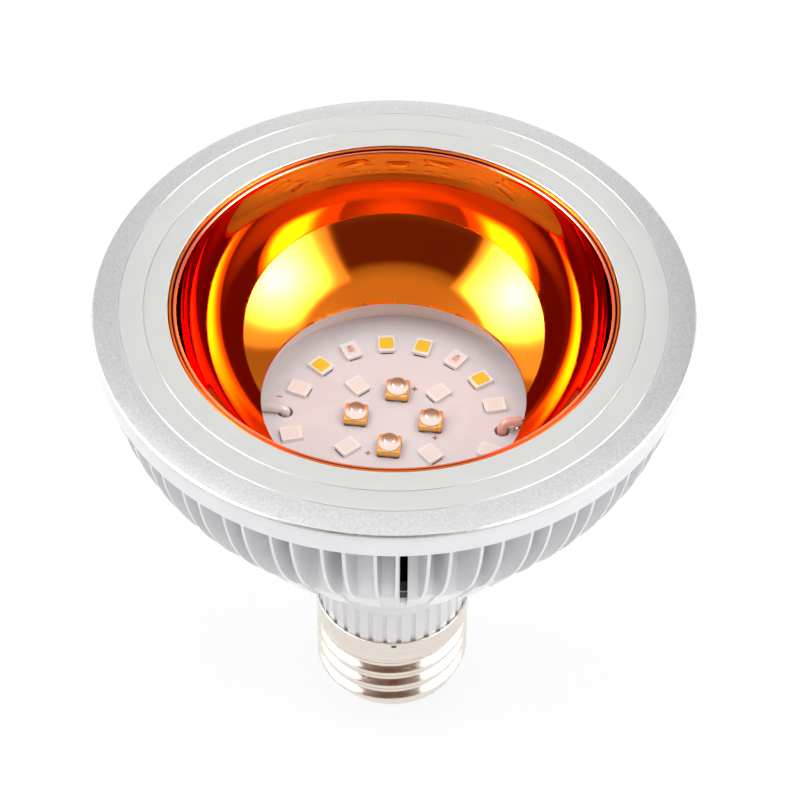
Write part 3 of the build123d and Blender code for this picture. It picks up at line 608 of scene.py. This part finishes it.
# Seat ring under the reflector, a short white sleeve
SEAT_BORE_R = FOOT_R - 1.4
seat_outline = round_outline([
    (SEAT_BORE_R, Z_FACE, 0.05), (FOOT_R, Z_FACE, 0.05), (FOOT_R, Z_FOOT, 0.05), (SEAT_BORE_R, Z_FOOT, 0.05),
], 4)
set_piece(skin("reflector_seat_turned", turned(seat_outline, 288)), SEAT,
          ["reflector_seat"])

# Screw cap: a thin sheet whose radius waves with a right-hand helix between the skirt and the lower roll
CAP_R = 13.2
CAP_WALL = 0.32
RIM_DROP = 0.06  # the sheet's upper edge is chamfered over this height
PITCH = 3.629
THREAD_ROOT, THREAD_CREST = 12.15, 13.1
HELIX_START = -8.6  # height of the crest that stands at the front
SHOULDER = 4.3, 6.1  # depths between which the skirt's radius runs down to the thread's
THREAD_IN, THREAD_OUT = (5.6, 6.8), (17.1, 17.7)  # depths over which the thread comes in and fades out
ROLL_R, ROLL_OUT, ROLL_DROP = 10.45, 1.7, 1.5
CRIMP_TURN = radians(-88.6)
CRIMP_Z, CRIMP_DEPTH, CRIMP_HALF_WIDE, CRIMP_HALF_HIGH = -0.6, 0.25, 0.42, 0.25


def cap_sheet():
    """Radius by turn and height: the skirt's radius with a small sunk crimp mark, a rounded shoulder, then
    the root plus a cosine of the height above the helix, eased in and out at the ends, then a quarter
    roll inwards. The lines of the grid lie closer at the crimp mark."""
    turn = np.linspace(0, 2 * np.pi, 240, endpoint=False) + CRIMP_TURN + radians(3)
    turn = np.concatenate([turn, CRIMP_TURN + np.radians(np.linspace(-2.8, 2.8, 29))])
    turn = np.unique(np.round(np.mod(turn - CRIMP_TURN + 1, 2 * np.pi) - 1 + CRIMP_TURN, 6))
    z = np.concatenate([np.linspace(0, -1.2, 25), np.linspace(-1.6, -4.0, 5),
                        np.linspace(-4.2, -THREAD_OUT[1], 130)])[:, None]
    helix = HELIX_START + PITCH * (turn + np.pi / 2) / (2 * np.pi)
    wave = 0.5 + 0.5 * np.cos(2 * np.pi * (z - helix) / PITCH)
    ease = rise(-z, *THREAD_IN) * (1 - rise(-z, *THREAD_OUT))
    thread = THREAD_ROOT + (THREAD_CREST - THREAD_ROOT) * wave * ease
    outer = np.minimum(thread + (CAP_R - THREAD_ROOT) * (1 - rise(-z, *SHOULDER)), CAP_R)
    along = CAP_R * (turn - CRIMP_TURN)
    wide, high = np.abs(along / CRIMP_HALF_WIDE), np.abs((z - CRIMP_Z) / CRIMP_HALF_HIGH)
    dent = CRIMP_DEPTH * np.exp(-wide ** 8 - high ** 8)
    roll_turn = np.radians(np.linspace(8, 80, 7))[:, None]
    roll_r = ROLL_R + ROLL_OUT * np.cos(roll_turn) + 0 * turn
    roll_z = -THREAD_OUT[1] - ROLL_DROP * np.sin(roll_turn) + 0 * turn
    sheet = np.vstack([outer, roll_r])
    height = np.vstack([z + 0 * turn, roll_z])
    r = np.vstack([sheet[:1] - 0.1, outer - dent, roll_r, sheet[::-1] - CAP_WALL])
    height = np.vstack([height[:1] * 0, height - RIM_DROP, height[::-1] - RIM_DROP])
    return np.stack([r * np.cos(turn), r * np.sin(turn), height], -1)


def in_crimp(spots):
    """True on the floor and the flanks of the crimp mark, which lie just under the skirt's radius."""
    r, z = np.hypot(spots[:, 0], spots[:, 1]), spots[:, 2]
    return (r < CAP_R - 0.04) & (r > CAP_R - 0.26) & (z > -1.0) & (z < -0.3)


set_piece(skin("cap_shell_rolled", cap_sheet()), (NICKEL, CRIMP_DARK), ["cap_shell"], 50,
          in_crimp)

# Neck sleeve: turned, but for the fluted length, whose radius drops by a round groove at equal turns
FLUTES = 33
RIB_R = 12.8
FLUTE_R = 0.45
Z_FLUTES_END = -5.1
NECK_FLANGE_R, Z_NECK_FLANGE = 31.0, 36.2
NECK_TOP_R, BORE_TOP_R = 23.0, 21.4
COLLAR_R, Z_COLLAR_TOP, Z_COLLAR = 13.7, 10.4, 8.4
SPIGOT_R, BORE_R, Z_SPIGOT = 11.6, 10.45, -13.5


def neck_surface():
    """Radius by turn and place along the outline, whose two long sides are bowed lines. On the fluted rows
    the radius is reduced by the depth of a round groove, the root of the groove's radius squared less the
    distance from its line squared."""
    turn = np.linspace(0, 2 * np.pi, FLUTES * 24, endpoint=False)
    step = 2 * np.pi / FLUTES
    off = RIB_R * (np.mod(turn + np.pi / 2, step) - step / 2)
    depth = np.sqrt(np.maximum(FLUTE_R ** 2 - off ** 2, 0))
    t = np.linspace(0, 1, 30)[:, None]
    bow = 4 * t * (1 - t)
    top, bottom = np.array([NECK_TOP_R, Z_NECK_FLANGE]), np.array([COLLAR_R, Z_COLLAR_TOP])
    # The outer side bows out by 1.5 mm and the bore follows it
    body = top + (bottom - top) * t + 1.5 * bow * np.array([0.94, -0.34])
    outer = np.vstack([
        [[BORE_TOP_R, Z_PLATE], [NECK_FLANGE_R - 0.05, Z_PLATE], [NECK_FLANGE_R, Z_PLATE - 0.05],
         [NECK_FLANGE_R, Z_NECK_FLANGE + 0.05], [NECK_FLANGE_R - 0.05, Z_NECK_FLANGE]], body,
        [[COLLAR_R, Z_COLLAR + 0.3], [COLLAR_R - 0.08, Z_COLLAR + 0.1], [COLLAR_R - 0.25, Z_COLLAR],
         [RIB_R - 0.05, Z_COLLAR]],
    ])
    fluted = np.stack([np.full(8, RIB_R), np.linspace(Z_COLLAR - 0.1, Z_FLUTES_END, 8)], 1)
    bore_top, bore_bottom = np.array([BORE_TOP_R, Z_NECK_FLANGE]), np.array([BORE_R, Z_COLLAR])
    bore = bore_top + (bore_bottom - bore_top) * t[::-1] + bow[::-1] * np.array([1.4, -0.55])
    lower = np.vstack([
        [[SPIGOT_R, Z_FLUTES_END - 0.05], [SPIGOT_R, Z_SPIGOT + 0.05], [SPIGOT_R - 0.05, Z_SPIGOT],
         [BORE_R + 0.05, Z_SPIGOT], [BORE_R, Z_SPIGOT + 0.05]], bore,
    ])
    outline = np.vstack([outer, fluted, lower])
    r = np.repeat(outline[:, :1], len(turn), 1)
    rows = slice(len(outer), len(outer) + len(fluted))
    r[rows] -= depth
    z = outline[:, 1:] + 0 * turn
    return np.stack([r * np.cos(turn), r * np.sin(turn), z], -1)


set_piece(skin("neck_sleeve_fluted", neck_surface()), NECK, ["neck_sleeve"], 40)

# Cover of the neck under the core's cone, with bites for the screws
COVER_R, COVER_BORE_R = 29.15, 20.9
Z_COVER, Z_COVER_TOP = 31.3, 32.5
SCREW_CIRCLE_R, BITE_R = 27.0, 2.9


def neck_cover():
    """Flat ring whose outer radius is even but for three bites round the screws: there it is the nearer
    crossing with the bite's circle, d cos(a) - sqrt(b^2 - d^2 sin(a)^2)."""
    turn = np.linspace(0, 2 * np.pi, 360, endpoint=False)
    off = np.mod(turn + np.pi / 3, 2 * np.pi / 3) - np.pi / 3
    under = BITE_R ** 2 - (SCREW_CIRCLE_R * np.sin(off)) ** 2
    nearer = SCREW_CIRCLE_R * np.cos(off) - np.sqrt(np.maximum(under, 0))
    outer = np.minimum(COVER_R, np.where(under > 0, nearer, COVER_R))
    inner = np.full_like(turn, COVER_BORE_R)
    r = np.stack([inner, outer, outer, inner])
    z = np.array([Z_COVER, Z_COVER, Z_COVER_TOP, Z_COVER_TOP])[:, None] + 0 * turn
    return np.stack([r * np.cos(turn), r * np.sin(turn), z], -1)


set_piece(skin("neck_cover", neck_cover()), NECK)

# Small LEDs: windows, terminals and the chips of the clear ones
LED_H = 0.75
Z_LED = Z_FACE + LED_H
Z_SUNK = Z_LED - 0.098  # underside of a window, sunk in the LED's body
OUTER_CIRCLE_R, INNER_CIRCLE_R = 16.9, 9.5
FAR_PITCH, NEAR_PITCH = 20.75, 17.0
ARC_KINDS = ("pale", "warm", "red", "warm", "warm", "red", "warm", "pale")
END_STEP = (len(ARC_KINDS) - 1) / 2
BAR_OFF, TERMINAL_OFF = 0.75, 1.76
led_places = {"pale": [], "warm": [], "red": []}
for middle, pitch in ((90, FAR_PITCH), (270, NEAR_PITCH)):
    for count, kind in enumerate(ARC_KINDS):
        step = count - END_STEP
        turn = middle + step * (FAR_PITCH if abs(step) == END_STEP else pitch) + PATTERN_TURN
        led_places[kind].append((OUTER_CIRCLE_R, turn))
for corner in range(4):
    led_places["pale"].append((INNER_CIRCLE_R, 45 + 90 * corner + PATTERN_TURN))
all_places = led_places["warm"] + led_places["pale"] + led_places["red"]
bar_places = [(r + BAR_OFF, a) for r, a in led_places["red"]]
terminal_places = [(r + end * TERMINAL_OFF, a) for r, a in all_places for end in (-1, 1)]

gel_window = pillow(2.5, 2.3, Z_SUNK, Z_LED + 0.05, 7.0, 0.03)
set_pads("warm_led_windows", gel_window, led_places["warm"], WARM_GEL)
set_pads("pale_led_windows", gel_window, led_places["pale"], PALE_GEL)
clear_window = pillow(2.42, 1.92, Z_SUNK, Z_LED - 0.04, 7.0, 0.02)
set_pads("red_led_windows", clear_window, led_places["red"], CLEAR_GEL)
chip = pillow(1.05, 1.0, Z_LED - 0.05, Z_LED + 0.02, 9.0, 0.02, 5, 32)
set_pads("red_led_chips", chip, led_places["red"], RED_CHIP)
bar = pillow(0.16, 0.6, Z_LED - 0.05, Z_LED + 0.01, 9.0, 0.0, 4, 24)
set_pads("red_led_bars", bar, bar_places, CHIP_BAR)
terminal = pillow(0.1, 2.1, Z_FACE + 0.02, Z_FACE + 0.22, 12.0, 0.0, 4, 24)
set_pads("led_terminals", terminal, terminal_places, TERMINAL)

# UV LEDs: a rounded square body on two feet, and a glass dome over a white floor whose far half is brown, a
# painted reflection
UV_H = 1.5
Z_UV = Z_FACE + UV_H
UV_CIRCLE_R = 6.15
UV_CORNER = 10.0  # power of the superellipse
LENS_R, LENS_H = 1.76, 1.7
uv_places = [(UV_CIRCLE_R, 90 * n + PATTERN_TURN) for n in range(4)]


def uv_body():
    """Rings on a superellipse of high power, drawn in a little at the top edge. Under the middle of the
    foot the rings are lifted, so the body stands on two feet."""
    turn = np.linspace(0, 2 * np.pi, 64, endpoint=False)
    c, s = np.cos(turn), np.sin(turn)
    half = np.array([0.9, 1.84, 1.90, 1.90, 1.90, 1.87, 1.80, 1.2])[:, None]
    z = np.array([0.0, 0.0, 0.05, 0.4, UV_H - 0.12, UV_H - 0.04, UV_H, UV_H])[:, None]
    x = half * np.sign(c) * np.abs(c) ** (2 / UV_CORNER)
    y = half * np.sign(s) * np.abs(s) ** (2 / UV_CORNER)
    lift = 0.4 * (1 - rise(np.abs(x), 0.9, 1.1))
    return np.stack([x, y, Z_FACE + np.maximum(z, lift)], -1)


def on_foot(spots):
    """True on faces of the dark feet."""
    return spots[:, 2] < Z_FACE + 0.36


uv_nodes = [f"uv_led_base_{n}" for n in range(1, 5)]
set_piece(skin("uv_led_bodies", set_round(uv_body(), uv_places, PATTERN_TURN), poles=True),
          (UV_GOLD, UV_FOOT), uv_nodes, 30, on_foot)
uv_disc = pillow(3.36, 3.36, Z_UV - 0.05, Z_UV + 0.1, 2.0, 0.0, 16, 48)
discs = skin("uv_led_floors", set_round(uv_disc, uv_places, PATTERN_TURN), poles=True)
across, ahead = (np.append(uv_disc[..., n].ravel(), (0, 0)) for n in (0, 1))
# Share of the painted reflection at each point of a floor: brown on the far half, less towards the sides
painted_reflection = rise(ahead, -0.25, 0.75) * (1 - 0.8 * rise(np.abs(across), 0.8, 1.35))
reflection_attribute = discs.attributes.new("painted_reflection", "FLOAT", "POINT")
reflection_attribute.data.foreach_set("value", np.tile(painted_reflection, len(uv_places)).astype(np.float32))
set_piece(discs, UV_FLOOR)


def glass_dome():
    """Cap of a sphere that stands on the body: equal angles from the rim up to the pole."""
    turn = np.linspace(0, 2 * np.pi, 56, endpoint=False)
    ball = (LENS_R ** 2 + LENS_H ** 2) / (2 * LENS_H)
    lowest = np.arcsin((ball - LENS_H) / ball)
    rows = np.linspace(lowest, np.pi / 2, 18, endpoint=False)[:, None]
    r = np.vstack([[[0.8]], ball * np.cos(rows)])
    z = np.vstack([[[0.02]], LENS_H - ball + ball * np.sin(rows)]) + Z_UV
    z[1] += 0.02
    return np.stack([r * np.cos(turn), r * np.sin(turn), z + 0 * turn], -1)


lens_nodes = [f"uv_led_lens_{n}" for n in range(1, 5)]
domes = set_piece(skin("uv_led_domes", set_round(glass_dome(), uv_places), poles=True), GLASS,
                  lens_nodes, 60)
domes.visible_shadow = False
domes.visible_diffuse = False

# Positive lead: from the driver up through its hole, then over in a soft arc to its pad
HOLE_R = 17.8
LEAD_R, BEND_R = 0.8, 1.35
driver_pad = np.array([10.8, -1.45, 28.7])
hole = polar(HOLE_R, PATTERN_TURN)
lead_end = polar(HOLE_R + 3.0, PATTERN_TURN + 2.4)
positive_path = bent_path([
    driver_pad, driver_pad + (0, 0, 3.0), hole + (0, 0, Z_PLATE - 1.0), hole + (0, 0, Z_FACE + 2.2),
    lead_end + (0, 0, Z_FACE + 1.75)], BEND_R, 16)
positive_lead = tube(positive_path, LEAD_R, polar(1, PATTERN_TURN + 90))
set_piece(skin("positive_lead_bent", positive_lead, poles=True), LEAD_PINK, ["positive_lead"])

# Printed marks beside the UV LEDs and the negative hole: thin bars of ink on the board
MARK_LONG, MARK_WIDE = 1.0, 0.26
Z_INK = Z_FACE + 0.005
bar_across = pillow(MARK_LONG, MARK_WIDE, Z_INK, Z_FACE + 0.02, 9.0, 0.0, 3, 24)
bar_along = pillow(MARK_WIDE, MARK_LONG, Z_INK, Z_FACE + 0.022, 9.0, 0.0, 3, 24)
plus_places = [(7.98, 64.4), (7.66, -27.6), (8.03, -120.4)]
minus_place = (19.5, 164.3)
marks = np.concatenate([set_round(bar_across, plus_places + [minus_place], PATTERN_TURN),
                        set_round(bar_along, plus_places, PATTERN_TURN)])
set_piece(skin("printed_marks", marks, poles=True), PRINT_RED)

# Light, floor and camera

SKY_ON_MATT = 0.36  # strength of the sky as matt pieces see it
FLOOR_GLOW, FLOOR_WHITE = 0.33, 0.88  # share of plain glow: in the light it throws, and as seen
MIRROR_BOUNCE = 0.15  # share of the studio sheet that reaches matt pieces by way of the mirror


def softbox(name, azimuth, elevation, distance, width, height, radiance):
    """Area light that faces the bowl's mouth and lights matt surfaces. Its power is radiance times pi
    times its area. Gloss sees the studio sheet below in its place."""
    light = bpy.data.lights.new(name, "AREA")
    light.shape = "RECTANGLE"
    light.size, light.size_y = width, height
    light.energy = radiance * np.pi * width * height
    lamp = bpy.data.objects.new(name, light)
    bpy.context.scene.collection.objects.link(lamp)
    lamp.visible_glossy = False
    lamp.visible_transmission = False
    a, e = radians(azimuth), radians(elevation)
    back = np.array([np.cos(a) * np.cos(e), np.sin(a) * np.cos(e), np.sin(e)])
    spot = back * distance + (0, 0, Z_TOP * MM)
    right = np.array([-np.sin(a), np.cos(a), 0])
    upward = np.cross(back, right)
    lamp.matrix_world = Matrix(np.column_stack([
        np.append(right, 0), np.append(upward, 0), np.append(back, 0), np.append(spot, 1)]).tolist())


# Azimuth and elevation in degrees, distance, width and height in metres, radiance
softbox("right_softbox", -17, 45, 1.1, 1.2, 0.9, 1.75)
softbox("left_softbox", -179, 45, 1.1, 1.2, 0.9, 1.65)
softbox("front_fill", -90, 14, 1.3, 1.2, 0.6, 0.95)
softbox("overhead_panel", 90, 88, 1.3, 1.2, 1.2, 1.25)


def seen_directly(tree):
    """1 for rays from the camera, from gloss and through glass, else 0."""
    path = tree.nodes.new("ShaderNodeLightPath")
    total = path.outputs["Is Camera Ray"]
    for name in ("Is Glossy Ray", "Is Transmission Ray"):
        either = tree.nodes.new("ShaderNodeMath")
        either.operation = "MAXIMUM"
        tree.links.new(total, either.inputs[0])
        tree.links.new(path.outputs[name], either.inputs[1])
        total = either.outputs[0]
    return total


world = bpy.data.worlds.new("studio")
bpy.context.scene.world = world
world.use_nodes = True
sky = world.node_tree
plain = sky.nodes["Background"]
plain.inputs["Color"].default_value = (1, 1, 1, 1)
plain.inputs["Strength"].default_value = SKY_ON_MATT
bright = sky.nodes.new("ShaderNodeBackground")
bright.inputs["Color"].default_value = (1, 1, 1, 1)
choose = sky.nodes.new("ShaderNodeMixShader")
sky.links.new(seen_directly(sky), choose.inputs[0])
sky.links.new(plain.outputs[0], choose.inputs[1])
sky.links.new(bright.outputs[0], choose.inputs[2])
sky.links.new(choose.outputs[0], sky.nodes["World Output"].inputs["Surface"])


def floor_white():
    """White floor: mostly plain white to the camera, with enough of its own shading to keep a shadow, and
    a soft glow that lifts the undersides. From below it is clear."""
    f = Finish("floor_white", (0.86, 0.86, 0.86, 1), 0.9)
    f.bump(f.noise(2.0), 0.01, 0.1)
    glow = f.node("ShaderNodeEmission", {"Color": (1, 1, 1, 1), "Strength": 1.0})
    share = f.span(seen_directly(f.tree), 0, 1, FLOOR_GLOW, FLOOR_WHITE)
    blend = f.node("ShaderNodeMixShader", {0: share, 1: f.shader.outputs[0], 2: glow.outputs[0]})
    under = f.node("ShaderNodeNewGeometry").outputs["Backfacing"]
    clear = f.node("ShaderNodeBsdfTransparent")
    whole = f.node("ShaderNodeMixShader", {0: under, 1: blend.outputs[0], 2: clear.outputs[0]})
    f.tree.links.new(whole.outputs[0], f.tree.nodes["Material Output"].inputs["Surface"])
    return f.material


def studio_glow():
    """Light of the studio as gloss sees it, from the colours stored on the sheet. What the amber mirror
    throws on to matt pieces is held to a seventh."""
    f = Finish("studio_glow", (0, 0, 0, 1), 1.0)
    stored = f.node("ShaderNodeAttribute", attribute_name="glow").outputs["Color"]
    bounced = f.node("ShaderNodeLightPath").outputs["Diffuse Depth"]
    strength = f.span(bounced, 0, 1, 1.0, MIRROR_BOUNCE)
    glow = f.node("ShaderNodeEmission", {"Color": stored, "Strength": strength})
    f.tree.links.new(glow.outputs[0], f.tree.nodes["Material Output"].inputs["Surface"])
    return f.material


def stage_piece(name, points, finish):
    """Open sheet of the studio, in metres."""
    rows, cols = points.shape[:2]
    mesh = bpy.data.meshes.new(name)
    mesh.from_pydata(points.reshape(-1, 3).tolist(), [], face_grid(rows, cols, False, False).tolist())
    mesh.materials.append(finish)
    sheet = bpy.data.objects.new(name, mesh)
    bpy.context.scene.collection.objects.link(sheet)
    return sheet


side = np.linspace(-4, 4, 9)
floor_z = cad_box[0][2]
floor = np.stack(np.broadcast_arrays(side[None, :], side[:, None], floor_z), -1)
stage_piece("floor", floor, floor_white())


def gap(angle, middle):
    """Signed turn from one azimuth to another, in degrees."""
    return np.mod(angle - middle + 180, 360) - 180


def window(off, half, soft):
    """1 within half a width of the middle, falling to 0 over a soft edge."""
    return 1 / (1 + np.exp((np.abs(off) - half) / soft))


FAR_WALL, CAMERA_SIDE = 90, -97  # azimuths
SHADE = np.array([0.15, 0.055, 0.04])
SHADE_NEAR_FLOOR = np.array([0.07, 0.085, 0.02])
# The softboxes as gloss sees them: azimuth of the middle, half width, azimuth and elevation of the hot spot
SEEN_BOXES = (181, 41, 189, 31), (-15, 39, -17, 27)
BOX_MIDDLE, BOX_HALF = 28, 28  # their elevation and half height
BOX_EDGE, BOX_WIDE, BOX_HOT = 1.5, 29, 45  # their light at the edge, and what the wide and hot parts add


def studio_light(azimuth, elevation):
    """Light by direction, in degrees: a pale wall on the far side, a ceiling that is dimmer towards the
    camera, a dark brownish side behind the camera, and a softbox left and right with a hot middle."""
    behind = np.sin(np.radians(azimuth))
    pale = np.exp(-(gap(azimuth, FAR_WALL) / 28) ** 2)
    wall = 0.45 + 0.58 * pale * (1.4 - 0.45 * rise(elevation, 25, 50))
    roof = 0.7 + 0.35 * rise(behind, -0.8, 0.5)
    roof = roof + (0.95 - roof) * rise(elevation, 72, 90)
    level = wall + (roof - wall) * rise(elevation, 50, 62)
    level = level + 0.6 * np.exp(-(gap(azimuth, 85) / 25) ** 2 - ((elevation - 78) / 4) ** 2)
    colour = np.repeat(level[..., None], 3, -1)
    dark = window(gap(azimuth, CAMERA_SIDE), 42, 1.0) * (1 - rise(elevation, 46, 53))
    shade = SHADE + (1 - rise(elevation, 8, 20))[..., None] * SHADE_NEAR_FLOOR
    colour = colour + (shade - colour) * dark[..., None]
    for middle, half, hot_turn, hot_lift in SEEN_BOXES:
        box = window(gap(azimuth, middle), half, 0.9) * window(elevation - BOX_MIDDLE, BOX_HALF, 0.9)
        wide = np.exp(-(gap(azimuth, hot_turn) / 23) ** 4 - ((elevation - hot_lift) / 23) ** 4)
        hot = np.exp(-(gap(azimuth, hot_turn) / 12) ** 2 - ((elevation - hot_lift) / 13) ** 2)
        light = BOX_EDGE + (BOX_WIDE * wide + BOX_HOT * hot)[..., None]
        colour = colour + (light - colour) * box[..., None]
    return colour


azimuth = np.linspace(-180, 180, 241)[None, :]
elevation = np.linspace(-3, 90, 94)[:, None]
lying = np.radians(azimuth), np.radians(elevation)
SHEET_R = 1.6  # metres
room = SHEET_R * np.stack(np.broadcast_arrays(
    np.cos(lying[0]) * np.cos(lying[1]), np.sin(lying[0]) * np.cos(lying[1]), np.sin(lying[1])), -1)
sheet = stage_piece("studio_sheet", room, studio_glow())
sheet.visible_camera = False
sheet.visible_diffuse = False
sheet.visible_shadow = False
glow = studio_light(azimuth + 0 * elevation, elevation + 0 * azimuth)
glow = np.concatenate([glow, np.ones(glow.shape[:2] + (1,))], -1)
stored = sheet.data.attributes.new("glow", "FLOAT_COLOR", "POINT")
stored.data.foreach_set("color", glow.ravel().astype(np.float32))

IMAGE_PX, FOCAL_PX, SENSOR_MM = 800, 3246.1, 36.0
CAMERA_SPOT, CAMERA_DIP, CAMERA_ROLL = (0.00104, -0.35407, 0.43707), 47.74, 0.5
camera = bpy.data.cameras.new("camera")
camera.sensor_width = SENSOR_MM
camera.lens = FOCAL_PX * SENSOR_MM / IMAGE_PX
camera.clip_start = 0.01
viewer = bpy.data.objects.new("camera", camera)
bpy.context.scene.collection.objects.link(viewer)
viewer.matrix_world = (Matrix.Translation(CAMERA_SPOT)
                       @ Matrix.Rotation(radians(90 - CAMERA_DIP), 4, "X")
                       @ Matrix.Rotation(radians(CAMERA_ROLL), 4, "Z"))
bpy.context.scene.camera = viewer
bpy.context.scene.view_settings.view_transform = "Standard"
